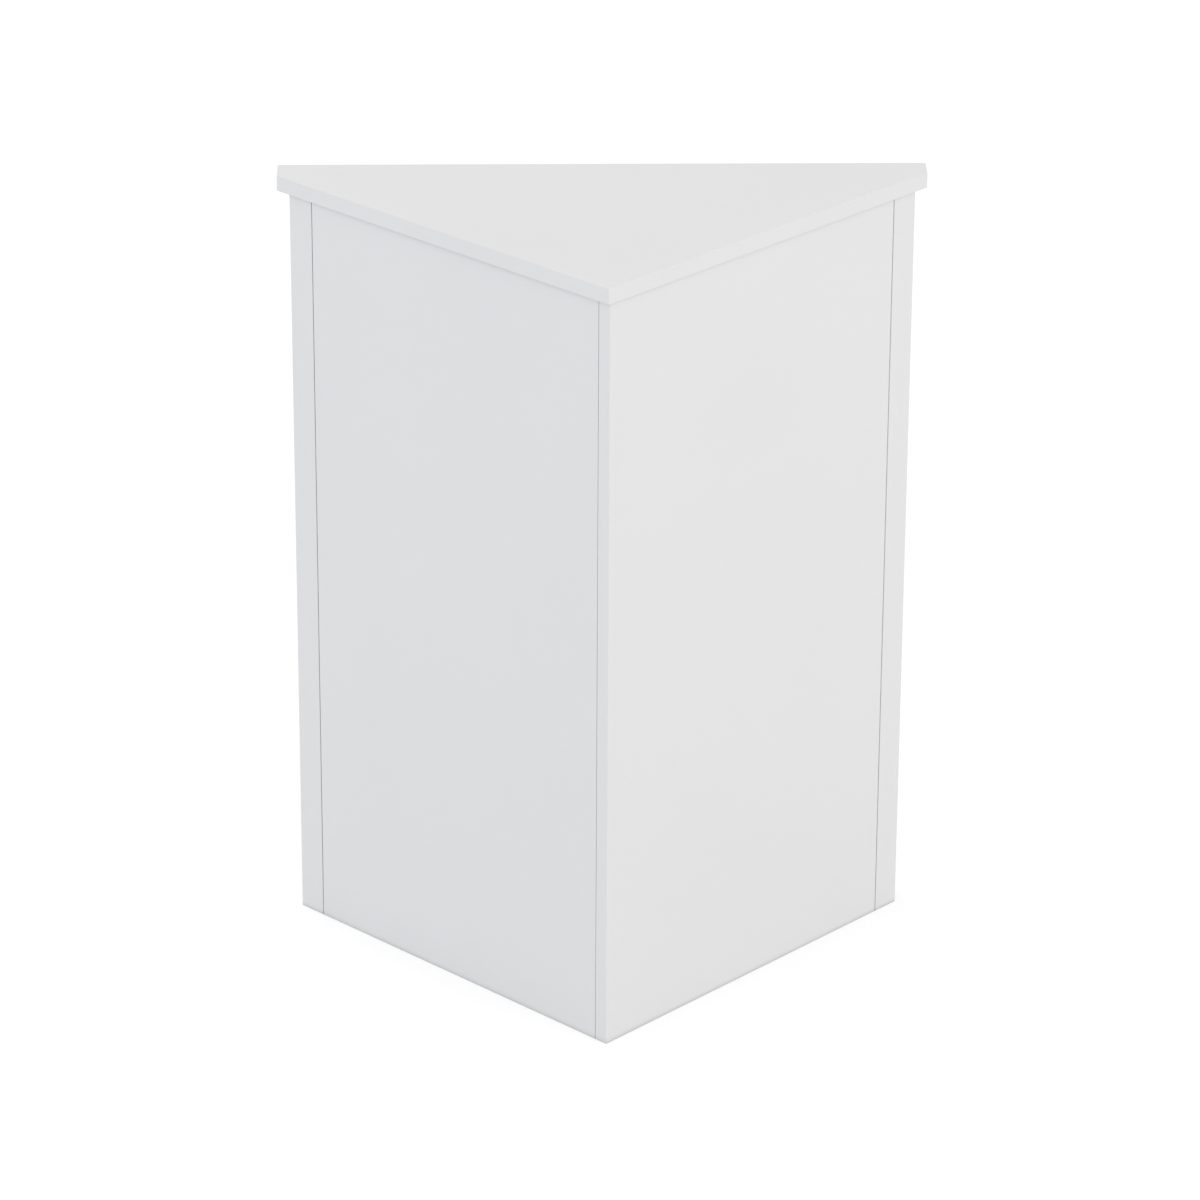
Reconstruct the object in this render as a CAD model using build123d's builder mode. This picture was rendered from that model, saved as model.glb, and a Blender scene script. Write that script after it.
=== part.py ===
from build123d import *

import os
from math import atan2, cos, degrees, radians, sin, sqrt

# Corner cabinet with a louvred door, in millimetres. The floor is z = 0, the door faces -Y, and
# the two walls meet at a right angle at the back, each 45 degrees from the front plane.

# Carcass
height = 800.0
wall_leg = 436.0  # wall face, from the rear corner to the tip of a post
side_face = 26.7  # face that cuts off each tip, from the wall plane to the front plane
wall_board = 15.0
top_board = 15.0
floor_board = 15.0
shelf_board = 15.0
frame_board = 18.0  # post flanges, rails and door
top_overhang = 12.6  # at the front and the cut tips
post_wall_face = 30.8  # post's face in the plane of the wall
post_front_face = 60.0
seam = 0.6  # between a wall panel and the board or post that it meets
top_bevel = 0.5  # edges of the top panel
eased_edge = 0.5  # arris taken off the other boards
plinth_height = 80.0
top_rail_height = 40.0

# Tongues and tenons of the carcass
joint_fit = 0.1  # round a tongue or tenon in its groove or mortise
joint_relief = 0.5  # past the end of a tongue or tenon
tongue_thickness = 5.0
post_tongue = 8.0  # wall panel's tongue in the post
corner_tongue = 6.0  # right wall panel's tongue in the left one
loose_tongue_grip = 6.0  # of a loose tongue in the top panel, and in the board below
loose_tongue_inset = 50.0  # from the ends of the board below
tenon_thickness = 8.0
rail_tenon = 12.0
rail_shoulder = 8.0  # above and below a rail's tenon

# Floor and shelves on cleats
shelf_gap = 1.0  # between a shelf and the walls and posts
shelf_setback = 12.0  # from the door to a shelf's front edge
lower_shelf_height = 300.0  # underside, above the floor
upper_shelf_height = 530.0
cleat_width = 18.0
cleat_height = 20.0
cleat_inset = 75.0  # from the post to a cleat's end

# Door
reveal = 2.8  # between the door's edge and the post, filled by the hinge leaves
door_gap = 2.5  # above and below the door
stile_width = 50.0
door_top_rail_height = 55.0
door_bottom_rail_height = 70.0
door_tenon = 20.0
door_shoulder = 10.0  # above and below a door rail's tenon
slat_width = 28.0
slat_thickness = 5.0
slat_bevel = 1.4
slat_tilt = 60.0  # degrees from level, front edge down
slat_count = 21
slat_housing = 8.0  # depth of a slat's seat in the stile
slat_margin = 1.5  # from the first and last slat to the rails

# Hinges
hinge_length = 50.0
hinge_inset = 80.0  # from the door's end to the hinge's middle
knuckle_count = 3
knuckle_radius = 3.0
knuckle_gap = 0.3
leaf_thickness = 1.2
leaf_reach = 13.0  # onto the edge of the post or door
leaf_corner = 2.0
leaf_clearance = 0.3  # round the other leaf's knuckles
hinge_pin_radius = 1.25
hinge_screw_spacing = 30.0
hinge_screw_reach = 7.5  # from the front plane to the screws

# Screws
screw_radius = 1.5
screw_head_radius = 2.6
screw_length = 14.0
screw_fit = 0.05  # radial clearance of pins and screws in their holes
screw_relief = 0.5  # past the point of a screw
sink_clearance = 0.1  # between a countersunk head and its seat

# Magnetic catch and its plate
catch_inset = 105.0  # from the post to the catch's middle
catch_drop = 8.0  # from the door's top edge to the magnet
catch_width = 40.0
catch_depth = 15.0
catch_box_height = 16.0
catch_flange = 3.0
catch_flange_height = 24.0
catch_setback = 0.8  # housing behind the plane of the plate
pole_setback = 0.3  # pole plates behind the plane of the plate
magnet_width = 24.0
magnet_depth = 10.0
magnet_thickness = 5.0
pole_thickness = 1.5
catch_fit = 0.1  # round the magnet, its plates and the pegs
catch_edge = 1.0
catch_peg_width = 4.0
catch_peg = 9.0
catch_peg_spacing = 24.0
strike_width = 30.0
strike_height = 12.0
strike_thickness = 1.2
strike_fit = 0.1  # round the plate and its prongs in the door
strike_prong_width = 5.0
strike_prong = 7.0  # length, from the back of the plate

# Knob
knob_height = 500.0  # above the floor
knob_length = 26.0
knob_radius = 14.0
knob_base = 2.0
knob_base_radius = 9.0
knob_neck_radius = 6.0
knob_head = 12.0
knob_thread_depth = 11.0
knob_screw_radius = 2.0
knob_screw_head_radius = 4.0
knob_screw_head = 2.2

# Places that follow from the sizes, with the origin under the middle of the outer box
slant = sqrt(0.5)
front_to_corner = wall_leg * slant + side_face
corner_y = (front_to_corner + max(top_overhang, knob_length)) / 2
front_y = corner_y - front_to_corner
frame_back_y = front_y + frame_board
frame_middle_y = front_y + frame_board / 2
tip_x = wall_leg * slant
opening_x = tip_x - post_front_face
wall_end = wall_leg - post_wall_face
post_inner_x = (wall_end - wall_board) * slant
wall_height = height - top_board
rail_bottom = wall_height - top_rail_height
floor_underside = plinth_height - floor_board
tongue_near = (wall_board - tongue_thickness) / 2
tongue_far = (wall_board + tongue_thickness) / 2

door_x = opening_x - reveal
door_bottom = plinth_height + door_gap
door_top = rail_bottom - door_gap
louvre_x = door_x - stile_width
louvre_bottom = door_bottom + door_bottom_rail_height
louvre_top = door_top - door_top_rail_height

hinge_axis_x = -(opening_x - reveal / 2)
hinge_axis_y = front_y - knuckle_radius
hinge_heights = (door_bottom + hinge_inset, door_top - hinge_inset)
hinge_names = ("lower", "upper")
head_slant = degrees(atan2(screw_head_radius - screw_radius, leaf_thickness))

catch_x = opening_x - catch_inset
catch_z = door_top - catch_drop
rail_back = Plane(origin=(catch_x, frame_back_y, rail_bottom), x_dir=(-1, 0, 0), z_dir=(0, 1, 0))
catch_pegs = [(side * catch_peg_spacing / 2, catch_flange_height / 2) for side in (-1, 1)]
strike_face = Plane(origin=(catch_x, frame_back_y, catch_z), x_dir=(-1, 0, 0), z_dir=(0, 1, 0))
strike_prongs = [(side * (strike_width - strike_thickness) / 2, 0) for side in (-1, 1)]
knob_x = door_x - stile_width / 2

SIDES = (-1, 1)
RAIL_LEVELS = ((0, plinth_height), (rail_bottom, wall_height))
DOOR_RAIL_LEVELS = ((door_bottom, louvre_bottom), (louvre_top, door_top))

os.makedirs("parts", exist_ok=True)


def wall_point(side, along, depth):
    """Plan point a distance along a wall from the rear corner, and some depth inside its face."""
    return (side * slant * (along - depth), corner_y - slant * (along + depth))


def wall_strip(side, start, end, near, far):
    """Plan corners of a strip along a wall, between two places along it and two depths."""
    places = ((start, near), (end, near), (end, far), (start, far))
    return [wall_point(side, along, depth) for along, depth in places]


def wall_tongue(side, clearance):
    """Plan corners of the loose tongue on top of a wall panel, or of its groove."""
    start = wall_board + loose_tongue_inset - clearance
    end = wall_end - loose_tongue_inset + clearance
    return wall_strip(side, start, end, tongue_near - clearance, tongue_far + clearance)


def rail_strip(half_length, near_y, far_y):
    """Plan corners of a strip along the front."""
    return [(-half_length, near_y), (half_length, near_y), (half_length, far_y), (-half_length, far_y)]


def rail_tongue(clearance):
    """Plan corners of the loose tongue on top of the top rail, or of its groove."""
    half_thickness = tongue_thickness / 2 + clearance
    half_length = opening_x - loose_tongue_inset + clearance
    return rail_strip(half_length, frame_middle_y - half_thickness, frame_middle_y + half_thickness)


def loose_tongues(clearance):
    """Plan corners of all loose tongues, or of their grooves."""
    return [wall_tongue(-1, clearance), wall_tongue(1, clearance), rail_tongue(clearance)]


def inner_outline(inset, front):
    """Plan outline inside the walls and posts, with its front edge at y = front."""
    depth = wall_board + inset
    side_x = post_inner_x - inset
    rear = (0, corner_y - 2 * slant * depth)
    shoulder_y = rear[1] - side_x
    return [rear, (-side_x, shoulder_y), (-side_x, front), (side_x, front), (side_x, shoulder_y)]


def drill(planes, radius, depth):
    """Bore each plane's hole from its origin, against its z."""
    with Locations(*planes):
        Hole(radius, depth)


def save(part, name):
    """Label a finished piece and write its file."""
    part.label = name
    export_step(part, f"parts/{name}.step")


def make_top_panel():
    """Triangle with its sharp tips cut off, flush with the walls and proud of the front."""
    side_x = tip_x + top_overhang
    front = front_y - top_overhang
    right = [(side_x, corner_y - side_x), (side_x, front)]
    left = [(-x, y) for x, y in reversed(right)]
    with BuildPart() as top_panel:
        with BuildSketch(Plane.XY.offset(wall_height)):
            Polygon((0, corner_y), *right, *left)
        extrude(amount=top_board)
        chamfer(top_panel.edges().filter_by(Axis.Z), length=top_bevel)
        chamfer(top_panel.faces().sort_by(Axis.Z)[-1].edges(), length=top_bevel)
        with BuildSketch(Plane.XY.offset(wall_height)):
            for corners in loose_tongues(joint_fit):
                Polygon(*corners)
        extrude(amount=loose_tongue_grip + joint_relief, mode=Mode.SUBTRACT)
    save(top_panel.part, "top_panel")


def make_top_tongues():
    """Loose tongues that hold the top panel to the walls and the top rail."""
    with BuildPart() as top_tongues:
        with BuildSketch(Plane.XY.offset(wall_height - loose_tongue_grip)):
            for corners in loose_tongues(0):
                Polygon(*corners)
        extrude(amount=2 * loose_tongue_grip)
    save(top_tongues.part, "top_tongues")


def make_wall_panel(side, name):
    """Wall panel with a tongue for the post: the left one runs through to the rear corner."""
    meets_left = side > 0
    start = wall_board + seam if meets_left else 0
    end = wall_end - seam
    with BuildPart() as panel:
        with BuildSketch():
            Polygon(*wall_strip(side, start, end, 0, wall_board))
        extrude(amount=wall_height)
        chamfer(panel.edges().filter_by(Axis.Z), length=eased_edge)
        with BuildSketch():
            Polygon(*wall_strip(side, end, wall_end + post_tongue, tongue_near, tongue_far))
            if meets_left:
                tip = wall_board - corner_tongue
                Polygon(*wall_strip(side, tip, start, tongue_near, tongue_far))
        extrude(amount=wall_height)
        if not meets_left:
            groove_floor = wall_board - corner_tongue - joint_relief
            near = tongue_near - joint_fit
            far = tongue_far + joint_fit
            with BuildSketch():
                Polygon(*wall_strip(side, near, far, groove_floor, wall_board))
            extrude(amount=wall_height, mode=Mode.SUBTRACT)
        with BuildSketch(Plane.XY.offset(wall_height)):
            Polygon(*wall_tongue(side, joint_fit))
        extrude(amount=-(loose_tongue_grip + joint_relief), mode=Mode.SUBTRACT)
    save(panel.part, name)


def hinge_screw_planes(x, direction, middles=hinge_heights):
    """Planes of one side's hinge screws at some x, with z out of the wood."""
    planes = []
    for middle in middles:
        for z in (middle - hinge_screw_spacing / 2, middle + hinge_screw_spacing / 2):
            planes.append(Plane(origin=(x, front_y + hinge_screw_reach, z), z_dir=(direction, 0, 0)))
    return planes


def make_post(side, name):
    """Post: a front flange beside the door, a cut tip and a face in the plane of the wall."""
    tip = (side * tip_x, corner_y - tip_x)
    outline = [
        (side * opening_x, front_y),
        (side * tip_x, front_y),
        tip,
        wall_point(side, wall_end, 0),
        wall_point(side, wall_end, wall_board),
        (side * post_inner_x, frame_back_y),
        (side * opening_x, frame_back_y),
    ]
    with BuildPart() as post:
        with BuildSketch():
            Polygon(*outline)
        extrude(amount=wall_height)
        uprights = post.edges().filter_by(Axis.Z)
        chamfer(uprights.sort_by(Axis.Y)[:2] + uprights.sort_by(Axis.Y)[-1:], length=eased_edge)
        with BuildSketch():
            groove_floor = wall_end + post_tongue + joint_relief
            near = tongue_near - joint_fit
            Polygon(*wall_strip(side, wall_end, groove_floor, near, tongue_far + joint_fit))
        extrude(amount=wall_height, mode=Mode.SUBTRACT)
        for bottom, top in RAIL_LEVELS:
            with BuildSketch(Plane.YZ.offset(side * opening_x)):
                with Locations((frame_middle_y, (bottom + top) / 2)):
                    mortise_height = top - bottom - 2 * (rail_shoulder - joint_fit)
                    Rectangle(tenon_thickness + 2 * joint_fit, mortise_height)
            extrude(amount=side * (rail_tenon + joint_relief), mode=Mode.SUBTRACT)
        if side < 0:
            planes = hinge_screw_planes(-opening_x, 1)
            drill(planes, screw_radius + screw_fit, screw_length - leaf_thickness + screw_relief)
    save(post.part, name)


def make_bottom_panel():
    """Floor of the cabinet, between the walls, the posts and the plinth."""
    with BuildPart() as bottom_panel:
        with BuildSketch(Plane.XY.offset(floor_underside)):
            Polygon(*inner_outline(0, frame_back_y))
        extrude(amount=floor_board)
    save(bottom_panel.part, "bottom_panel")


def make_shelf(underside, name):
    """Loose shelf, with its front edge behind the door."""
    with BuildPart() as shelf:
        with BuildSketch(Plane.XY.offset(underside)):
            Polygon(*inner_outline(shelf_gap, frame_back_y + shelf_setback))
        extrude(amount=shelf_board)
        chamfer(shelf.edges().filter_by(Axis.X), length=eased_edge)
    save(shelf.part, name)


def make_cleat(corners, top, name):
    """Batten that carries a panel from below."""
    with BuildPart() as cleat:
        with BuildSketch(Plane.XY.offset(top)):
            Polygon(*corners)
        extrude(amount=-cleat_height)
    save(cleat.part, name)


def make_wall_cleats(top, level):
    """Cleats of one panel along both walls: the right one butts on the left one."""
    end = wall_end - cleat_inset
    depth = wall_board + cleat_width
    make_cleat(wall_strip(-1, wall_board, end, wall_board, depth), top, f"{level}_left_cleat")
    make_cleat(wall_strip(1, depth, end, wall_board, depth), top, f"{level}_right_cleat")


def make_rail(bottom, top, half_length, tenon, shoulder, name):
    """Front board between two uprights, with a tenon at each end."""
    with BuildPart() as rail:
        with BuildSketch(Plane.XY.offset(bottom)):
            Polygon(*rail_strip(half_length, front_y, frame_back_y))
        extrude(amount=top - bottom)
        chamfer(rail.faces().sort_by(Axis.Y)[0].edges().filter_by(Axis.X), length=eased_edge)
        with BuildSketch(Plane.YZ.offset(-half_length - tenon)):
            with Locations((frame_middle_y, (bottom + top) / 2)):
                Rectangle(tenon_thickness, top - bottom - 2 * shoulder)
        extrude(amount=2 * (half_length + tenon))
        if name == "top_rail":
            with BuildSketch(Plane.XY.offset(top)):
                Polygon(*rail_tongue(joint_fit))
            extrude(amount=-(loose_tongue_grip + joint_relief), mode=Mode.SUBTRACT)
            with BuildSketch(rail_back):
                with Locations(*catch_pegs):
                    Rectangle(catch_peg_width + 2 * catch_fit, catch_peg_width + 2 * catch_fit)
            extrude(amount=-(catch_peg + joint_relief), mode=Mode.SUBTRACT)
        if name == "door_top_rail":
            with BuildSketch(strike_face):
                Rectangle(strike_width + 2 * strike_fit, strike_height + 2 * strike_fit)
            extrude(amount=-strike_thickness, mode=Mode.SUBTRACT)
            with BuildSketch(strike_face):
                with Locations(*strike_prongs):
                    Rectangle(strike_thickness + 2 * strike_fit, strike_prong_width + 2 * strike_fit)
            extrude(amount=-(strike_thickness + strike_prong + joint_relief), mode=Mode.SUBTRACT)
    save(rail.part, name)


def make_stile(side, name):
    """Door stile, with a slanted seat for the end of each slat in its inner edge."""
    inner_edge = Plane.YZ.offset(side * louvre_x)
    seats = [(frame_middle_y, z) for z in slat_heights()]
    with BuildPart() as stile:
        with BuildSketch(Plane.XY.offset(door_bottom)):
            with Locations((side * (louvre_x + stile_width / 2), frame_middle_y)):
                Rectangle(stile_width, frame_board)
        extrude(amount=door_top - door_bottom)
        chamfer(stile.edges().filter_by(Axis.Z).group_by(Axis.Y)[0], length=eased_edge)
        with BuildSketch(inner_edge) as seat_shapes:
            with Locations(*seats):
                Rectangle(slat_width + 2 * joint_fit, slat_thickness + 2 * joint_fit, slat_tilt)
            chamfer(seat_shapes.vertices(), length=slat_bevel)
        extrude(amount=side * slat_housing, mode=Mode.SUBTRACT)
        for bottom, top in DOOR_RAIL_LEVELS:
            with BuildSketch(inner_edge):
                with Locations((frame_middle_y, (bottom + top) / 2)):
                    mortise_height = top - bottom - 2 * (door_shoulder - joint_fit)
                    Rectangle(tenon_thickness + 2 * joint_fit, mortise_height)
            extrude(amount=side * (door_tenon + joint_relief), mode=Mode.SUBTRACT)
        if side < 0:
            planes = hinge_screw_planes(-door_x, -1)
            drill(planes, screw_radius + screw_fit, screw_length - leaf_thickness + screw_relief)
        else:
            with Locations(Plane(origin=(knob_x, front_y, knob_height), z_dir=(0, -1, 0))):
                Hole(knob_screw_radius + screw_fit)
    save(stile.part, name)


def slat_heights():
    """Middles of the slats, spread evenly between the door's rails."""
    tilt = radians(slat_tilt)
    half_rise = (slat_width * sin(tilt) + slat_thickness * cos(tilt)) / 2
    first = louvre_bottom + slat_margin + half_rise
    last = louvre_top - slat_margin - half_rise
    gaps = slat_count - 1
    return [first + (last - first) * step / gaps for step in range(gaps + 1)]


def make_slats():
    """Louvre slats with bevelled edges, their ends seated in the stiles."""
    reach = louvre_x + slat_housing - joint_fit
    for number, z in enumerate(slat_heights(), start=1):
        name = f"door_slat_{number:02d}"
        with BuildPart() as slat:
            with BuildSketch(Plane.YZ.offset(-reach)) as section:
                with Locations((frame_middle_y, z)):
                    Rectangle(slat_width, slat_thickness, slat_tilt)
                chamfer(section.vertices(), length=slat_bevel)
            extrude(amount=2 * reach)
        save(slat.part, name)


def knuckle_zones(first):
    """Low and high end of every second knuckle, from the hinge's lower end."""
    step = hinge_length / knuckle_count
    return [(step * i, step * (i + 1)) for i in range(first, knuckle_count, 2)]


def make_hinge_leaf(middle, face_x, side, first, name):
    """Hinge leaf: a plate on the wood's edge, rolled into its share of the knuckles."""
    base = middle - hinge_length / 2
    with BuildPart() as leaf:
        with BuildSketch(Plane.YZ.offset(face_x)) as plate:
            with Locations((hinge_axis_y, middle)):
                Rectangle(
                    leaf_reach + knuckle_radius,
                    hinge_length,
                    align=(Align.MIN, Align.CENTER),
                )
            chamfer(plate.vertices().sort_by(Axis.X)[-2:], length=leaf_corner)
        extrude(amount=side * leaf_thickness)
        for low, high in knuckle_zones(first):
            with BuildSketch(Plane.XY.offset(base + low)):
                with Locations((hinge_axis_x, hinge_axis_y)):
                    Circle(knuckle_radius)
            extrude(amount=high - low)
        for low, high in knuckle_zones(1 - first):
            with BuildSketch(Plane.XY.offset(base + low - knuckle_gap)):
                with Locations((hinge_axis_x, hinge_axis_y)):
                    Circle(knuckle_radius + leaf_clearance)
            extrude(amount=high - low + 2 * knuckle_gap, mode=Mode.SUBTRACT)
        with Locations((hinge_axis_x, hinge_axis_y, middle)):
            Hole(hinge_pin_radius + screw_fit)
        with Locations(*hinge_screw_planes(face_x + side * leaf_thickness, side, [middle])):
            CounterSinkHole(
                screw_radius + sink_clearance,
                screw_head_radius + sink_clearance,
                leaf_thickness,
                2 * head_slant,
            )
    save(leaf.part, name)


def make_hinge_pin(middle, name):
    """Hinge pin, flush with the outer knuckles."""
    with BuildPart() as pin:
        with BuildSketch(Plane.XY.offset(middle - hinge_length / 2)):
            with Locations((hinge_axis_x, hinge_axis_y)):
                Circle(hinge_pin_radius)
        extrude(amount=hinge_length)
    save(pin.part, name)


def make_screws(planes, name):
    """Countersunk screws whose heads lie flush with each plane's origin."""
    with BuildPart() as screws:
        for plane in planes:
            with BuildSketch(plane):
                Circle(screw_head_radius)
            extrude(amount=-leaf_thickness, taper=head_slant)
            with BuildSketch(plane.offset(-leaf_thickness)):
                Circle(screw_radius)
            extrude(amount=leaf_thickness - screw_length)
    save(screws.part, name)


def make_catch_housing():
    """Catch housing: a flange pegged to the rail's back, and a box for the magnet below it."""
    box_front = frame_back_y + catch_setback
    box_back = frame_back_y + catch_depth
    box_bottom = catch_z - catch_box_height / 2
    box_top = catch_z + catch_box_height / 2
    flange_back = frame_back_y + catch_flange
    flange_top = rail_bottom + catch_flange_height
    outline = [
        (frame_back_y, flange_top),
        (flange_back, flange_top),
        (flange_back, box_top),
        (box_back, box_top),
        (box_back, box_bottom),
        (box_front, box_bottom),
        (box_front, rail_bottom),
        (frame_back_y, rail_bottom),
    ]
    slot_height = magnet_thickness + 2 * (pole_thickness + catch_fit)
    mouth = Plane(origin=(catch_x, box_front, catch_z), x_dir=(1, 0, 0), z_dir=(0, -1, 0))
    with BuildPart() as housing:
        with BuildSketch(Plane.YZ.offset(catch_x - catch_width / 2)):
            Polygon(*outline)
        extrude(amount=catch_width)
        chamfer(housing.edges().filter_by(Axis.X).sort_by(Axis.Y)[-2:], length=catch_edge)
        with BuildSketch(mouth):
            Rectangle(magnet_width + 2 * catch_fit, slot_height)
        extrude(amount=-(magnet_depth + catch_fit), mode=Mode.SUBTRACT)
        with BuildSketch(rail_back):
            with Locations(*catch_pegs):
                Rectangle(catch_peg_width, catch_peg_width)
        extrude(amount=-catch_peg)
    save(housing.part, "catch_housing")


def make_catch_magnet():
    """Bar magnet between the pole plates."""
    with BuildPart() as magnet:
        with BuildSketch(Plane.XZ.offset(-(frame_back_y + catch_setback))):
            with Locations((catch_x, catch_z)):
                Rectangle(magnet_width, magnet_thickness)
        extrude(amount=-magnet_depth)
    save(magnet.part, "catch_magnet")


def make_catch_plates():
    """Two pole plates, which stand out of the housing to meet the strike plate."""
    rise = (magnet_thickness + pole_thickness) / 2
    with BuildPart() as plates:
        with BuildSketch(Plane.XZ.offset(-(frame_back_y + pole_setback))):
            with Locations((catch_x, catch_z - rise), (catch_x, catch_z + rise)):
                Rectangle(magnet_width, pole_thickness)
        extrude(amount=-(magnet_depth + catch_setback - pole_setback))
    save(plates.part, "catch_plates")


def make_strike_plate():
    """Steel plate let into the door's back, with prongs bent into the wood at both ends."""
    with BuildPart() as plate:
        with BuildSketch(strike_face):
            Rectangle(strike_width, strike_height)
        extrude(amount=-strike_thickness)
        with BuildSketch(strike_face):
            with Locations(*strike_prongs):
                Rectangle(strike_thickness, strike_prong_width)
        extrude(amount=-(strike_thickness + strike_prong))
    save(plate.part, "strike_plate")


def make_knob():
    """Turned knob: a foot, a neck, a flat head and a bore for its screw."""
    foot = Plane(origin=(knob_x, front_y, knob_height), x_dir=(1, 0, 0), z_dir=(0, 0, -1))
    side = [
        (knob_base_radius, 0),
        (knob_base_radius, knob_base),
        (knob_neck_radius, knob_base),
        (knob_neck_radius, knob_length - knob_head),
        (knob_radius, knob_length - knob_head),
        (knob_radius, knob_length),
    ]
    with BuildPart() as knob:
        with BuildSketch(foot):
            Polygon((0, 0), *side, (0, knob_length))
        revolve(axis=Axis(foot.origin, (0, -1, 0)))
        with Locations(Plane(origin=foot.origin, z_dir=(0, 1, 0))):
            Hole(knob_screw_radius + screw_fit, knob_thread_depth)
    save(knob.part, "knob")


def make_knob_screw():
    """Screw from the door's back into the knob."""
    back = Plane(origin=(knob_x, frame_back_y, knob_height), z_dir=(0, 1, 0))
    with BuildPart() as screw:
        with BuildSketch(back):
            Circle(knob_screw_head_radius)
        extrude(amount=knob_screw_head)
        with BuildSketch(back):
            Circle(knob_screw_radius)
        extrude(amount=-(frame_board + knob_thread_depth - screw_relief))
    save(screw.part, "knob_screw")


make_top_panel()
make_top_tongues()
make_wall_panel(-1, "left_wall_panel")
make_wall_panel(1, "right_wall_panel")
make_post(-1, "left_post")
make_post(1, "right_post")
make_rail(rail_bottom, wall_height, opening_x, rail_tenon, rail_shoulder, "top_rail")
make_rail(0, plinth_height, opening_x, rail_tenon, rail_shoulder, "plinth")
make_bottom_panel()
make_wall_cleats(floor_underside, "floor")
plinth_cleat = rail_strip(opening_x - cleat_inset, frame_back_y, frame_back_y + cleat_width)
make_cleat(plinth_cleat, floor_underside, "plinth_cleat")
for shelf_height, level in ((lower_shelf_height, "lower"), (upper_shelf_height, "upper")):
    make_shelf(shelf_height, f"{level}_shelf")
    make_wall_cleats(shelf_height, level)

make_stile(-1, "door_left_stile")
make_stile(1, "door_right_stile")
make_rail(door_bottom, louvre_bottom, louvre_x, door_tenon, door_shoulder, "door_bottom_rail")
make_rail(louvre_top, door_top, louvre_x, door_tenon, door_shoulder, "door_top_rail")
make_slats()

frame_face_x = leaf_thickness - opening_x
door_face_x = -door_x - leaf_thickness
for hinge_height, level in zip(hinge_heights, hinge_names):
    make_hinge_leaf(hinge_height, -opening_x, 1, 0, f"hinge_{level}_frame_leaf")
    make_hinge_leaf(hinge_height, -door_x, -1, 1, f"hinge_{level}_door_leaf")
    make_hinge_pin(hinge_height, f"hinge_{level}_pin")
make_screws(hinge_screw_planes(frame_face_x, 1), "hinge_frame_screws")
make_screws(hinge_screw_planes(door_face_x, -1), "hinge_door_screws")

make_catch_housing()
make_catch_magnet()
make_catch_plates()
make_strike_plate()
make_knob()
make_knob_screw()
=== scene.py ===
"""Corner storage cabinet with a louvred door: its pieces and finishes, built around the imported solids."""

from math import cos, pi, radians, sin, sqrt, tan

import bmesh
import bpy
from mathutils import Matrix, Vector


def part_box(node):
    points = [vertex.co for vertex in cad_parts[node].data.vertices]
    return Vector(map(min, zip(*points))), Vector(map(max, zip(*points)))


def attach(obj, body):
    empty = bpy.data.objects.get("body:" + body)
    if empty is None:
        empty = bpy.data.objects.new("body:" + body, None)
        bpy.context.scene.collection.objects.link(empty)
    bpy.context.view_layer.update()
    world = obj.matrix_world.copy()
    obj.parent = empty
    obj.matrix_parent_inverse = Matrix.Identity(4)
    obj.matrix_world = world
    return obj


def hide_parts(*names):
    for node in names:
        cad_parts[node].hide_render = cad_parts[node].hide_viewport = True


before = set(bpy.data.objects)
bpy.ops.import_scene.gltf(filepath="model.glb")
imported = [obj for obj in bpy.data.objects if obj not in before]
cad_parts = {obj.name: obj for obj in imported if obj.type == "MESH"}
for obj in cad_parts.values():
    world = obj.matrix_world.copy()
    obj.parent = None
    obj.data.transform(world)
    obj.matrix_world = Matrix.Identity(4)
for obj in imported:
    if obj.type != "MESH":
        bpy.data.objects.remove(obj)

bl_info = {
    "name": "Corner cabinet",
    "version": (1, 0, 0),
    "blender": (4, 5, 0),
    "location": "View3D > Sidebar > Cabinet",
    "description": "Builds a white corner cabinet with a louvred door, piece by piece",
    "category": "Add Mesh",
}

MM = 0.001
CARCASS = "carcass"
DOOR = "door"
WHITE = (1.0, 1.0, 1.0)

# Mesh tolerances
MERGE = 0.001 * MM
TOUCH = 0.1 * MM
FLAT = radians(1)
OUTER_EDGE = radians(20)
SMOOTH = radians(50)

# How near the top's rear faces and rear tip its vertices lie, and how far past the walls its band hangs
RIM_REACH = 1.5 * MM
TIP_REACH = 2.0 * MM
WALL_MARGIN = 0.2 * MM

# How far past the left wall panel the edge of the right one lies, and how near to that its vertices are
SEAM_MIDDLE = 0.5 * MM
SEAM_REACH = 1.0 * MM

# Steps across a softened edge, and samples of the edge and seam masks
ARRIS_STEPS = 2
SHADE_SAMPLES = 6

# Sides of round forms, steps of the knob's roundings and radius of its tip
HOLE_SIDES = 24
SCREW_SIDES = 32
PIN_SIDES = 32
KNUCKLE_SIDES = 40
KNOB_SIDES = 72
KNOB_STEPS = 7
AXIS_RADIUS = 0.01 * MM

# Proportions: each number is a share of the form's own radius, length or depth
KNUCKLE_SOFTNESS = 1.6
PIN_TIP = 0.6
PIN_DOME = 0.35
RECESS_ARM = 0.24
RECESS_FLOOR = 0.62
SCREW_RIM = 0.1
SCREW_SHANK = 0.8
SCREW_POINT = 0.25
SCREW_RECESS = (0.62, 0.75)
KNOB_ROUNDINGS = (0.2, 0.5, 0.4, 0.9, 0.7, 1.0)
KNOB_SCREW_DOME = ((0.6, 1.0), (0.85, 0.86), (0.97, 0.55), (1.0, 0.15), (1.0, 0.0))
KNOB_SCREW_RECESS = (0.5, 0.7)

# How the cross recesses of the screws happen to be turned
FIRST_SCREW_TURN = radians(17)
NEXT_SCREW_TURN = radians(40)
KNOB_SCREW_TURN = radians(31)


# Settings

def number_setting(name, description, default):
    """Setting that holds a plain number."""
    return bpy.props.FloatProperty(name=name, description=description, default=default)


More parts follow.
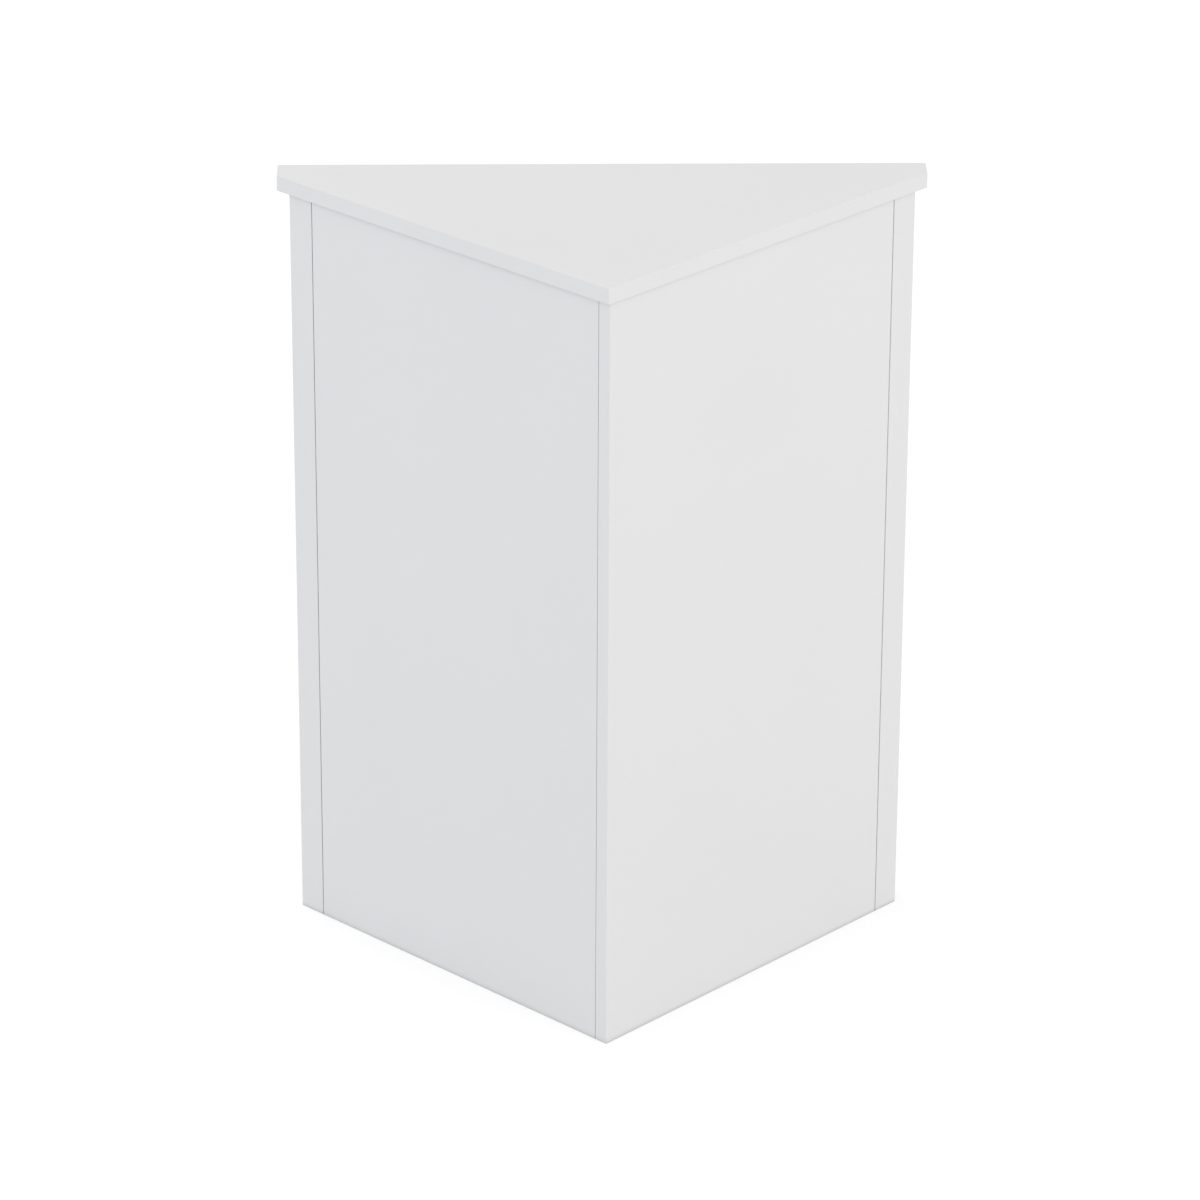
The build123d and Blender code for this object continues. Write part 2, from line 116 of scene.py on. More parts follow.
def length_setting(name, description, default, least=0.0):
    """Setting that holds a length, given in millimetres."""
    return bpy.props.FloatProperty(
        name=name,
        description=description,
        default=default * MM,
        min=least * MM,
        unit="LENGTH",
    )


def angle_setting(name, description, default):
    """Setting that holds an angle, given in degrees."""
    return bpy.props.FloatProperty(
        name=name,
        description=description,
        default=radians(default),
        subtype="ANGLE",
    )


def place_setting(name, description, default):
    """Setting that holds a place, given in metres."""
    return bpy.props.FloatVectorProperty(
        name=name,
        description=description,
        default=default,
        subtype="TRANSLATION",
        size=3,
    )


def colour_setting(name, description, default):
    """Setting that holds a colour."""
    return bpy.props.FloatVectorProperty(
        name=name,
        description=description,
        default=default,
        min=0.0,
        max=1.0,
        subtype="COLOR",
        size=3,
    )


class BoardSettings(bpy.types.PropertyGroup):
    """How the boards are eased, the top's edge band, the rear seam and the slats of the door."""

    arris: length_setting("Arris", "Radius of the eased edges of the boards", 0.3, 0.05)
    top_arris: length_setting("Top's arris", "Radius that softens the bevels of the top panel", 0.35, 0.05)
    left_lip: length_setting("Left lip", "How far the top's edge band passes the left wall panel", 1.8)
    right_lip: length_setting("Right lip", "How far the top's edge band passes the right wall panel", 3.6)
    band_drop: length_setting("Band drop", "How far the top's edge band hangs below its underside", 0.9)
    band_thickness: length_setting(
        "Band thickness",
        "Thickness of the top's edge band at the front and the tips",
        2.0,
    )
    wall_thickness: length_setting("Wall thickness", "Thickness of the wall panels", 15.0)
    corner_take_up: length_setting(
        "Corner seam take-up",
        "How much tighter the seam at the rear corner is drawn than the others",
        0.42,
    )
    slat_width: length_setting("Slat width", "Width of a louvre slat across its blade", 28.0)
    slat_thickness: length_setting("Slat thickness", "Thickness of a louvre slat", 5.0)
    slat_round: length_setting("Slat rounding", "Radius of a slat's long edges", 1.9)
    slat_tilt: angle_setting("Slat tilt", "Angle of a slat from level, front edge down", 60.0)


class HardwareSettings(bpy.types.PropertyGroup):
    """Sizes of the hinges, screws and knob that their outer boxes don't give."""

    metal_arris: length_setting("Metal arris", "Radius of the edges of metal and plastic pieces", 0.15)
    knuckle_count: bpy.props.IntProperty(name="Knuckles", description="Knuckles of a hinge", default=3)
    knuckle_gap: length_setting("Knuckle gap", "Gap round the other leaf's knuckles", 0.3)
    leaf_thickness: length_setting("Leaf thickness", "Thickness of a hinge leaf", 1.2)
    leaf_corner: length_setting("Leaf corner", "Radius of a hinge leaf's corners", 2.0)
    pin_radius: length_setting("Pin radius", "Radius of a hinge pin", 1.25)
    pin_clearance: length_setting("Pin clearance", "Gap round pins and screws in their bores", 0.05)
    screw_spacing: length_setting("Screw spacing", "Distance between a leaf's screws", 30.0)
    screw_radius: length_setting("Screw radius", "Radius of a hinge screw's shank", 1.5)
    screw_head_radius: length_setting("Screw head radius", "Radius of a hinge screw's head", 2.6)
    screw_clearance: length_setting("Screw clearance", "Gap round a screw head in its leaf", 0.1)
    knob_base: length_setting("Knob base", "Thickness of the knob's foot", 2.0)
    knob_base_radius: length_setting("Knob base radius", "Radius of the knob's foot", 9.0)
    knob_neck_radius: length_setting("Knob neck radius", "Radius of the knob's neck", 6.0)
    knob_head: length_setting("Knob head", "Length of the knob's head", 12.0)
    knob_round: length_setting("Knob rounding", "Radius of the knob's front edge", 2.2)
    knob_dome: length_setting("Knob dome", "Rise of the knob's face towards its middle", 0.4)
    knob_screw_radius: length_setting("Knob bore", "Radius of the bore for the knob's screw", 2.05)
    knob_thread_depth: length_setting("Knob thread", "Depth of the bore for the knob's screw", 11.0)


class FinishSettings(bpy.types.PropertyGroup):
    """Colours of the finishes."""

    white: colour_setting("White lacquer", "Colour of the boards", (0.80, 0.80, 0.80))
    plywood: colour_setting("Plywood", "Colour of the loose tongues", (0.56, 0.38, 0.21))
    nickel: colour_setting("Satin steel", "Colour of the knob and the hinges", (0.46, 0.45, 0.43))
    zinc: colour_setting("Zinc", "Colour of the screws and the catch's plates", (0.50, 0.515, 0.53))
    plastic: colour_setting("White plastic", "Colour of the catch housing", (0.78, 0.78, 0.76))
    magnet: colour_setting("Magnet", "Colour of the ferrite magnet", (0.035, 0.034, 0.036))


class StageSettings(bpy.types.PropertyGroup):
    """Camera, floor and light. Left and right are the cabinet's own, seen from its front."""

    lens: number_setting("Lens", "Focal length of the camera, in millimetres", 168.4)
    camera_place: place_setting("Camera place", "Where the camera stands", (0.1307, 5.0902, 2.6511))
    camera_heading: angle_setting(
        "Heading",
        "Turn of the camera about the vertical, from looking along -Y",
        -1.428,
    )
    camera_pitch: angle_setting("Pitch", "How far the camera looks down", 23.837)
    camera_roll: angle_setting("Roll", "Turn of the camera about its own line of sight", 0.288)
    floor_half: length_setting("Floor", "Half the side of the floor", 20000.0)
    floor_bounce: number_setting("Floor bounce", "Grey of the floor for the light it throws back", 0.8)
    floor_shade: number_setting("Floor shade", "Grey of the floor for the eye, which takes shadows", 0.5)
    floor_glow: number_setting("Floor glow", "Even white added to the floor for the eye", 0.57)
    surround_light: number_setting("Surrounding light", "Strength of the even light from all round", 0.782)
    surround_colour: colour_setting("Surrounding colour", "Colour of the even light", (1.0, 0.995, 0.991))
    lamp_size: length_setting("Lamp size", "Side of the square soft lamps", 6000.0)
    lamp_target: place_setting("Lamp target", "Where the lamps point, the cabinet's middle", (0.0, 0.0, 0.4))
    left_place: place_setting("Left softbox place", "Where the left softbox stands", (-5.0, 4.6, 2.8))
    left_power: number_setting("Left softbox power", "Watts of the lamp before the left wall panel", 124.0)
    right_place: place_setting("Right softbox place", "Where the right softbox stands", (5.2, 4.8, 2.2))
    right_power: number_setting("Right softbox power", "Watts of the lamp before the right wall panel", 83.0)
    right_colour: colour_setting("Right softbox colour", "Colour of the right softbox", (0.75, 0.834, 1.0))
    front_place: place_setting("Front softbox place", "Where the front softbox stands", (4.6, -5.2, 3.2))
    front_power: number_setting("Front softbox power", "Watts of the lamp before the door", 120.0)


# Node helpers

def link(tree, output, target):
    """Join two sockets."""
    tree.links.new(output, target)


def group_tree(name, inputs, outputs):
    """New shader group with named sockets: returns it with its input and output nodes."""
    tree = bpy.data.node_groups.new(name, "ShaderNodeTree")
    for kind, label, value in inputs:
        socket = tree.interface.new_socket(label, in_out="INPUT", socket_type=kind)
        socket.default_value = value
    for kind, label in outputs:
        tree.interface.new_socket(label, in_out="OUTPUT", socket_type=kind)
    return tree, tree.nodes.new("NodeGroupInput"), tree.nodes.new("NodeGroupOutput")


def math_node(tree, operation, first, second):
    """Math node on two sockets or numbers."""
    node = tree.nodes.new("ShaderNodeMath")
    node.operation = operation
    for socket, value in zip(node.inputs, (first, second)):
        if isinstance(value, (int, float)):
            socket.default_value = value
        else:
            link(tree, value, socket)
    return node.outputs[0]


def noise(tree, vector, scale, detail=2.0):
    """Noise texture on a vector, with its scale from a socket or a number."""
    node = tree.nodes.new("ShaderNodeTexNoise")
    link(tree, vector, node.inputs["Vector"])
    if isinstance(scale, (int, float)):
        node.inputs["Scale"].default_value = scale
    else:
        link(tree, scale, node.inputs["Scale"])
    node.inputs["Detail"].default_value = detail
    return node.outputs["Fac"]


def mix_colours(tree, factor, first, second):
    """Mix two colours by a mask."""
    node = tree.nodes.new("ShaderNodeMix")
    node.data_type = "RGBA"
    link(tree, factor, node.inputs["Factor"])
    link(tree, first, node.inputs["A"])
    link(tree, second, node.inputs["B"])
    return node.outputs["Result"]


def centred(tree, value):
    """A value between 0 and 1, moved to lie round 0."""
    return math_node(tree, "SUBTRACT", value, 0.5)


def shade_colour(tree, colour, value):
    """A colour made lighter or darker by a factor."""
    node = tree.nodes.new("ShaderNodeVectorMath")
    node.operation = "SCALE"
    link(tree, colour, node.inputs[0])
    link(tree, value, node.inputs["Scale"])
    return node.outputs[0]


# Shader groups

def coat_group():
    """Sprayed or moulded skin: faint colour drift, orange peel and a drifting gloss."""
    inputs = [
        ("NodeSocketColor", "Colour", (0.8, 0.8, 0.8, 1.0)),
        ("NodeSocketFloat", "Drift", 0.02),
        ("NodeSocketFloat", "Peel Scale", 400.0),
        ("NodeSocketFloat", "Roughness", 0.4),
        ("NodeSocketFloat", "Roughness Drift", 0.05),
    ]
    outputs = [
        ("NodeSocketColor", "Colour"),
        ("NodeSocketFloat", "Roughness"),
        ("NodeSocketFloat", "Height"),
    ]
    tree, given, out = group_tree("sprayed_skin", inputs, outputs)
    place = tree.nodes.new("ShaderNodeTexCoord").outputs["Object"]
    clouds = centred(tree, noise(tree, place, scale=6.0, detail=3.0))
    drift = math_node(tree, "MULTIPLY", clouds, given.outputs["Drift"])
    tint = math_node(tree, "ADD", drift, 1.0)
    link(tree, shade_colour(tree, given.outputs["Colour"], tint), out.inputs["Colour"])
    smears = centred(tree, noise(tree, place, scale=35.0, detail=4.0))
    gloss = math_node(tree, "MULTIPLY", smears, given.outputs["Roughness Drift"])
    link(tree, math_node(tree, "ADD", gloss, given.outputs["Roughness"]), out.inputs["Roughness"])
    peel = noise(tree, place, given.outputs["Peel Scale"], detail=1.5)
    link(tree, peel, out.inputs["Height"])
    return tree


def arris_group():
    """Mask of the outer edges of a piece, broken up a little."""
    inputs = [
        ("NodeSocketFloat", "Width", 0.001),
        ("NodeSocketFloat", "Breakup Scale", 90.0),
    ]
    tree, given, out = group_tree("arris_mask", inputs, [("NodeSocketFloat", "Mask")])
    inside = tree.nodes.new("ShaderNodeAmbientOcclusion")
    inside.inside = True
    inside.only_local = True
    inside.samples = SHADE_SAMPLES
    link(tree, given.outputs["Width"], inside.inputs["Distance"])
    edge = math_node(tree, "SUBTRACT", 1.0, inside.outputs["AO"])
    place = tree.nodes.new("ShaderNodeTexCoord").outputs["Object"]
    broken = noise(tree, place, given.outputs["Breakup Scale"], detail=3.0)
    link(tree, math_node(tree, "MULTIPLY", edge, broken), out.inputs["Mask"])
    return tree


def joint_group():
    """Painted shade: a factor that darkens the colour in seams and inner corners, where less light gets in.
    """
    inputs = [
        ("NodeSocketFloat", "Width", 0.003),
        ("NodeSocketFloat", "Depth", 0.5),
        ("NodeSocketFloat", "Narrowing", 1.5),
    ]
    tree, given, out = group_tree("joint_shade", inputs, [("NodeSocketFloat", "Shade")])
    near = tree.nodes.new("ShaderNodeAmbientOcclusion")
    near.samples = SHADE_SAMPLES
    link(tree, given.outputs["Width"], near.inputs["Distance"])
    closed = math_node(tree, "SUBTRACT", 1.0, near.outputs["AO"])
    narrow = math_node(tree, "POWER", closed, given.outputs["Narrowing"])
    darker = math_node(tree, "MULTIPLY", narrow, given.outputs["Depth"])
    link(tree, math_node(tree, "SUBTRACT", 1.0, darker), out.inputs["Shade"])
    return tree


def brushed_group():
    """Fine lines drawn along one axis, for brushed or rolled metal."""
    inputs = [
        ("NodeSocketColor", "Colour", (0.6, 0.6, 0.6, 1.0)),
        ("NodeSocketVector", "Stretch", (1.0, 1.0, 1.0)),
        ("NodeSocketFloat", "Line Scale", 2500.0),
        ("NodeSocketFloat", "Roughness", 0.3),
        ("NodeSocketFloat", "Line Roughness", 0.22),
        ("NodeSocketFloat", "Blotches", 0.1),
    ]
    outputs = [
        ("NodeSocketColor", "Colour"),
        ("NodeSocketFloat", "Roughness"),
        ("NodeSocketFloat", "Height"),
    ]
    tree, given, out = group_tree("brushed_metal", inputs, outputs)
    place = tree.nodes.new("ShaderNodeTexCoord").outputs["Object"]
    drawn = tree.nodes.new("ShaderNodeVectorMath")
    drawn.operation = "MULTIPLY"
    link(tree, place, drawn.inputs[0])
    link(tree, given.outputs["Stretch"], drawn.inputs[1])
    lines = noise(tree, drawn.outputs[0], given.outputs["Line Scale"])
    clouds = centred(tree, noise(tree, place, scale=180.0, detail=3.0))
    blotches = math_node(tree, "MULTIPLY", clouds, given.outputs["Blotches"])
    tint = math_node(tree, "ADD", blotches, 1.0)
    link(tree, shade_colour(tree, given.outputs["Colour"], tint), out.inputs["Colour"])
    shift = math_node(tree, "MULTIPLY", centred(tree, lines), given.outputs["Line Roughness"])
    link(tree, math_node(tree, "ADD", given.outputs["Roughness"], shift), out.inputs["Roughness"])
    link(tree, lines, out.inputs["Height"])
    return tree


GROUP_MAKERS = {
    "sprayed_skin": coat_group,
    "arris_mask": arris_group,
    "joint_shade": joint_group,
    "brushed_metal": brushed_group,
}


def use_group(tree, name, **values):
    """Place a shader group in a material, with its own values."""
    if name not in bpy.data.node_groups:
        GROUP_MAKERS[name]()
    node = tree.nodes.new("ShaderNodeGroup")
    node.node_tree = bpy.data.node_groups[name]
    for label, value in values.items():
        node.inputs[label.replace("_", " ")].default_value = value
    return node


# Materials

def new_material(name):
    """Empty material with its Principled shader."""
    material = bpy.data.materials.new(name)
    material.use_nodes = True
    return material, material.node_tree, material.node_tree.nodes["Principled BSDF"]


def bump(tree, shader, height, strength, distance):
    """Feed a height to the shader's normal."""
    node = tree.nodes.new("ShaderNodeBump")
    node.inputs["Strength"].default_value = strength
    node.inputs["Distance"].default_value = distance
    link(tree, height, node.inputs["Height"])
    link(tree, node.outputs["Normal"], shader.inputs["Normal"])


def rgba(colour):
    """Colour setting with full alpha."""
    return (*colour, 1.0)


def plain_colour(tree, colour, factor=1.0):
    """Colour of a setting made lighter or darker, as a node."""
    node = tree.nodes.new("ShaderNodeRGB")
    node.outputs[0].default_value = rgba([min(1.0, channel * factor) for channel in colour])
    return node.outputs[0]


def lacquer_material(colour):
    """Satin white lacquer on boards, with a painted highlight that makes the colour a trace lighter on the
    edges.
    """
    material, tree, shader = new_material("white_lacquer")
    coat = use_group(
        tree,
        "sprayed_skin",
        Colour=rgba(colour),
        Drift=0.025,
        Peel_Scale=420.0,
        Roughness=0.46,
        Roughness_Drift=0.10,
    )
    # Painted highlight: the edge mask mixes a lighter colour into the lacquer along the outer edges.
    arris = use_group(tree, "arris_mask", Width=0.8 * MM, Breakup_Scale=120.0)
    painted_edge_highlight = plain_colour(tree, colour, factor=1.1)
    mixed = mix_colours(tree, arris.outputs["Mask"], coat.outputs["Colour"], painted_edge_highlight)
    # Painted shade: seams, inner corners and the wall just under the top's band are darkened in the colour.
    joint = use_group(tree, "joint_shade", Width=6.0 * MM, Depth=0.75)
    shaded = shade_colour(tree, mixed, joint.outputs["Shade"])
    link(tree, shaded, shader.inputs["Base Color"])
    link(tree, coat.outputs["Roughness"], shader.inputs["Roughness"])
    bump(tree, shader, coat.outputs["Height"], strength=0.06, distance=0.05 * MM)
    return material


def plywood_material(colour, layer_scale, waviness, roughness):
    """Bare birch plywood: veneers in layers, with grain along them."""
    material, tree, shader = new_material("bare_plywood")
    place = tree.nodes.new("ShaderNodeTexCoord").outputs["Object"]
    layers = tree.nodes.new("ShaderNodeTexWave")
    layers.bands_direction = "Z"
    layers.inputs["Scale"].default_value = layer_scale
    layers.inputs["Distortion"].default_value = waviness
    link(tree, place, layers.inputs["Vector"])
    light = plain_colour(tree, colour)
    dark = plain_colour(tree, colour, factor=0.6)
    mixed = mix_colours(tree, layers.outputs["Fac"], dark, light)
    link(tree, mixed, shader.inputs["Base Color"])
    shader.inputs["Roughness"].default_value = roughness
    grain = noise(tree, place, scale=900.0, detail=4.0)
    bump(tree, shader, grain, strength=0.3, distance=0.1 * MM)
    return material


def metal_material(name, colour, stretch, roughness, blotches):
    """Brushed or plated metal with bright edges."""
    material, tree, shader = new_material(name)
    brushed = use_group(
        tree,
        "brushed_metal",
        Colour=rgba(colour),
        Stretch=stretch,
        Roughness=roughness,
        Blotches=blotches,
    )
    arris = use_group(tree, "arris_mask", Width=0.4 * MM, Breakup_Scale=600.0)
    bright = plain_colour(tree, colour, factor=1.25)
    mixed = mix_colours(tree, arris.outputs["Mask"], brushed.outputs["Colour"], bright)
    link(tree, mixed, shader.inputs["Base Color"])
    link(tree, brushed.outputs["Roughness"], shader.inputs["Roughness"])
    shader.inputs["Metallic"].default_value = 1.0
    bump(tree, shader, brushed.outputs["Height"], strength=0.12, distance=0.02 * MM)
    return material


def plastic_material(colour):
    """Moulded white plastic with a fine spark-eroded texture."""
    material, tree, shader = new_material("white_plastic")
    coat = use_group(
        tree,
        "sprayed_skin",
        Colour=rgba(colour),
        Drift=0.03,
        Peel_Scale=2600.0,
        Roughness=0.5,
        Roughness_Drift=0.08,
    )
    link(tree, coat.outputs["Colour"], shader.inputs["Base Color"])
    link(tree, coat.outputs["Roughness"], shader.inputs["Roughness"])
    bump(tree, shader, coat.outputs["Height"], strength=0.25, distance=0.05 * MM)
    return material


def magnet_material(colour):
    """Sintered ferrite: almost black, dull and grainy."""
    material, tree, shader = new_material("dark_magnet")
    coat = use_group(
        tree,
        "sprayed_skin",
        Colour=rgba(colour),
        Drift=0.6,
        Peel_Scale=3200.0,
        Roughness=0.62,
        Roughness_Drift=0.15,
    )
    link(tree, coat.outputs["Colour"], shader.inputs["Base Color"])
    link(tree, coat.outputs["Roughness"], shader.inputs["Roughness"])
    bump(tree, shader, coat.outputs["Height"], strength=0.4, distance=0.08 * MM)
    return material


MATERIAL_MAKERS = {
    "white_board": lambda finish: lacquer_material(finish.white),
    "bare_plywood": lambda finish: plywood_material(
        finish.plywood,
        layer_scale=210.0,
        waviness=0.6,
        roughness=0.75,
    ),
    "satin_steel": lambda finish: metal_material(
        "satin_steel",
        finish.nickel,
        stretch=(1.0, 1.0, 0.03),
        roughness=0.34,
        blotches=0.04,
    ),
    "zinc_steel": lambda finish: metal_material(
        "zinc_steel",
        finish.zinc,
        stretch=(1.0, 1.0, 1.0),
        roughness=0.3,
        blotches=0.22,
    ),
    "white_plastic": lambda finish: plastic_material(finish.plastic),
    "dark_magnet": lambda finish: magnet_material(finish.magnet),
}
made_materials = {}


def slot_material(slot):
    """Material of one of the record's slots, made when it is first asked for."""
    if slot not in made_materials:
        made_materials[slot] = MATERIAL_MAKERS[slot](bpy.context.scene.cabinet_finish)
    return made_materials[slot]


# Mesh helpers

def finish_piece(name, mesh, body, slot, nodes):
    """Wrap a bmesh as a piece that rides on a body and stands for its CAD nodes."""
    mesh.normal_update()
    bmesh.ops.recalc_face_normals(mesh, faces=mesh.faces)
    data = bpy.data.meshes.new(name)
    mesh.to_mesh(data)
    mesh.free()
    piece = bpy.data.objects.new(name, data)
    bpy.context.scene.collection.objects.link(piece)
    data.materials.append(slot_material(slot))
    data.shade_smooth()
    data.set_sharp_from_angle(angle=SMOOTH)
    weighted = piece.modifiers.new("flat_faces", "WEIGHTED_NORMAL")
    weighted.keep_sharp = True
    weighted.weight = 100
    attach(piece, body)
    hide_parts(*nodes)
    return piece


def rounded(corners, steps=5):
    """Outline through corners (x, y, radius), with an arc at each corner that has a radius."""
    points = []
    count = len(corners)
    for i, (x, y, radius) in enumerate(corners):
        here = Vector((x, y))
        if not radius:
            points.append(here)
            continue
        before = (Vector(corners[i - 1][:2]) - here).normalized()
        after = (Vector(corners[(i + 1) % count][:2]) - here).normalized()
        half = before.angle(after) / 2
        centre = here + (before + after).normalized() * radius / sin(half)
        start = here + before * radius / tan(half) - centre
        end = here + after * radius / tan(half) - centre
        for step in range(steps + 1):
            share = step / steps
            points.append(centre + (start * (1 - share) + end * share).normalized() * radius)
    return points


def circle(x, y, radius, segments):
    """Round outline."""
    turns = [2 * pi * step / segments for step in range(segments)]
    return [Vector((x + radius * cos(turn), y + radius * sin(turn))) for turn in turns]


def flat_loop(mesh, points, z=0.0):
    """Closed loop of edges through plan points: returns its vertices and edges."""
    verts = [mesh.verts.new((x, y, z)) for x, y in points]
    edges = [mesh.edges.new(pair) for pair in zip(verts, verts[1:] + verts[:1])]
    return verts, edges


def join_flat_faces(mesh):
    """Join the faces that lie in one plane."""
    bmesh.ops.dissolve_limit(mesh, angle_limit=FLAT, verts=mesh.verts, edges=mesh.edges)


def extrude(mesh, faces, shift):
    """Move a copy of some faces by a shift, joined to where they were by side faces."""
    moved = bmesh.ops.extrude_face_region(mesh, geom=faces)["geom"]
    verts = [item for item in moved if isinstance(item, bmesh.types.BMVert)]
    bmesh.ops.translate(mesh, verts=verts, vec=shift)


def plate_mesh(loops, thickness):
    """Plate whose first loop is its outline and whose other loops are holes, from z = 0 up."""
    mesh = bmesh.new()
    edges = [edge for loop in loops for edge in flat_loop(mesh, loop)[1]]
    bmesh.ops.triangle_fill(mesh, edges=edges, use_beauty=True)
    join_flat_faces(mesh)
    extrude(mesh, mesh.faces[:], (0, 0, thickness))
    return mesh


def add_rings(mesh, profile, segments, first=None):
    """Skin of rings (radius, z) round the z axis, from a first ring of vertices if one is given."""
    rings = [first] if first else []
    for radius, z in profile:
        rings.append([mesh.verts.new((x, y, z)) for x, y in circle(0, 0, radius, segments)])
    for lower, upper in zip(rings, rings[1:]):
        for i in range(segments):
            j = (i + 1) % segments
            mesh.faces.new((lower[i], lower[j], upper[j], upper[i]))
    return rings[0], rings[-1]


def turned_mesh(profile, segments):
    """Turned piece: rings along a closed profile of (radius, z) round the z axis."""
    mesh = bmesh.new()
    first, last = add_rings(mesh, profile, segments)
    if profile[0] == profile[-1]:
        bmesh.ops.remove_doubles(mesh, verts=mesh.verts, dist=MERGE)
    else:
        mesh.faces.new(first)
        mesh.faces.new(last)
    return mesh


def cross_outline(reach, half_width):
    """Outline of a cross recess: four arms round the z axis."""
    arms = []
    for quarter in range(4):
        turn = Matrix.Rotation(quarter * pi / 2, 2)
        arms.append(turn @ Vector((half_width, -half_width)))
        arms.append(turn @ Vector((reach, -half_width)))
        arms.append(turn @ Vector((reach, half_width)))
    return arms


def screw_mesh(profile, recess_reach, recess_depth):
    """Screw down the z axis from its face, with a cross recess in the face."""
    mesh = bmesh.new()
    face_radius, face_z = profile[0]
    rim, rim_edges = flat_loop(mesh, circle(0, 0, face_radius, SCREW_SIDES), face_z)
    outline = cross_outline(recess_reach, recess_reach * RECESS_ARM)
    mouth, mouth_edges = flat_loop(mesh, outline, face_z)
    bmesh.ops.triangle_fill(mesh, edges=rim_edges + mouth_edges, use_beauty=True)
    floor_points = [point * RECESS_FLOOR for point in outline]
    floor_verts, _ = flat_loop(mesh, floor_points, face_z - recess_depth)
    for i in range(len(mouth)):
        j = (i + 1) % len(mouth)
        mesh.faces.new((mouth[i], mouth[j], floor_verts[j], floor_verts[i]))
    mesh.faces.new(floor_verts)
    _, last = add_rings(mesh, profile[1:], SCREW_SIDES, first=rim)
    mesh.faces.new(last)
    return mesh


def aim(place, direction, upright=(0, 0, 1)):
    """Matrix that takes the z axis to a direction at a place."""
    z = Vector(direction).normalized()
    y = Vector(upright)
    x = y.cross(z).normalized()
    turn = Matrix((x, z.cross(x), z)).transposed().to_4x4()
    return Matrix.Translation(place) @ turn


def join_meshes(meshes):
    """One bmesh from several, which are used up."""
    whole = bmesh.new()
    for mesh in meshes:
        data = bpy.data.meshes.new("part")
        mesh.to_mesh(data)
        mesh.free()
        whole.from_mesh(data)
        bpy.data.meshes.remove(data)
    return whole


def board_mesh(node):
    """Mesh of a CAD board with its facets joined into whole faces."""
    mesh = bmesh.new()
    mesh.from_mesh(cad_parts[node].data)
    bmesh.ops.remove_doubles(mesh, verts=mesh.verts, dist=MERGE)
    join_flat_faces(mesh)
    return mesh


def ease_edges(mesh, radius):
    """Round every outer edge of a mesh."""
    mesh.normal_update()
    outer = [e for e in mesh.edges if e.is_convex and e.calc_face_angle(0) > OUTER_EDGE]
    bmesh.ops.bevel(
        mesh,
        geom=outer,
        offset=radius,
        offset_type="OFFSET",
        segments=ARRIS_STEPS,
        profile=0.5,
        affect="EDGES",
        clamp_overlap=True,
    )


def eased_board(node, body, slot="white_board", radius=None, adjust=None):
    """Piece for a board: the CAD's shape, joints and all, with softened edges."""
    mesh = board_mesh(node)
    if adjust:
        adjust(mesh)
    ease_edges(mesh, radius or bpy.context.scene.cabinet_boards.arris)
    return finish_piece(f"{node}_shown", mesh, body, slot, [node])


def hang_band(mesh, rear):
    """Lower the rim of the top's underside, outside the wall faces and along the front."""
    boards = bpy.context.scene.cabinet_boards
    low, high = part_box("top_panel")
    reach = high.x - boards.band_thickness
    front = low.y + boards.band_thickness
    cuts = [
        (Vector((0, rear + WALL_MARGIN, 0)), Vector((1, 1, 0))),
        (Vector((0, rear + WALL_MARGIN, 0)), Vector((-1, 1, 0))),
        (Vector((reach, 0, 0)), Vector((1, 0, 0))),
        (Vector((-reach, 0, 0)), Vector((-1, 0, 0))),
        (Vector((0, front, 0)), Vector((0, -1, 0))),
    ]
    for place, outward in cuts:
        parts = mesh.verts[:] + mesh.edges[:] + mesh.faces[:]
        bmesh.ops.bisect_plane(mesh, geom=parts, plane_co=place, plane_no=outward, dist=MERGE)
    mesh.normal_update()
    rim = []
    for face in mesh.faces:
        middle = face.calc_center_median()
        outside = any((middle - place).dot(outward) > 0 for place, outward in cuts)
        if face.normal.z < -cos(FLAT) and outside and middle.z < low.z + TOUCH:
            rim.append(face)
    extrude(mesh, rim, (0, 0, -boards.band_drop))
    bmesh.ops.delete(mesh, geom=[face for face in rim if face.is_valid], context="FACES")
    join_flat_faces(mesh)


def add_band(mesh):
    """Give the top an edge band that stands out over the wall panels and hangs a little lower."""
    boards = bpy.context.scene.cabinet_boards
    left, right = boards.left_lip, boards.right_lip
    rear = max(abs(vert.co.x) + vert.co.y for vert in mesh.verts)
    for vert in mesh.verts:
        x, y, _ = vert.co
        if abs(x) + y < rear - RIM_REACH:
            continue
        if abs(x) < TIP_REACH:
            vert.co += Vector((right - left, right + left, 0)) * sqrt(0.5)
        else:
            vert.co.y += sqrt(2) * (right if x > 0 else left)
    hang_band(mesh, rear)


def tighten_corner(mesh):
    """Draw the right wall panel's edge nearer to the left one."""
    boards = bpy.context.scene.cabinet_boards
    corner = Vector((0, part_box("left_wall_panel")[1].y, 0))
    back = Vector((-1, 1, 0)).normalized()
    for vert in mesh.verts:
        along = (corner - vert.co).dot(back)
        if abs(along - boards.wall_thickness - SEAM_MIDDLE) < SEAM_REACH:
            vert.co += back * boards.corner_take_up


# Pieces of the carcass

class CABINET_OT_top_panel(bpy.types.Operator):
    """Top panel, with soft bevels round its upper edges and an edge band"""

    bl_idname = "cabinet.top_panel"
    bl_label = "Top panel"

    def execute(self, context):
        eased_board("top_panel", CARCASS, radius=context.scene.cabinet_boards.top_arris, adjust=add_band)
        return {"FINISHED"}


class CABINET_OT_walls(bpy.types.Operator):
    """Two wall panels, which meet at the rear corner"""

    bl_idname = "cabinet.walls"
    bl_label = "Wall panels"

    def execute(self, context):
        eased_board("left_wall_panel", CARCASS)
        eased_board("right_wall_panel", CARCASS, adjust=tighten_corner)
        return {"FINISHED"}


class CABINET_OT_front_frame(bpy.types.Operator):
    """Posts, top rail and plinth"""

    bl_idname = "cabinet.front_frame"
    bl_label = "Front frame"

    def execute(self, context):
        for node in ("left_post", "right_post", "top_rail", "plinth"):
            eased_board(node, CARCASS)
        return {"FINISHED"}


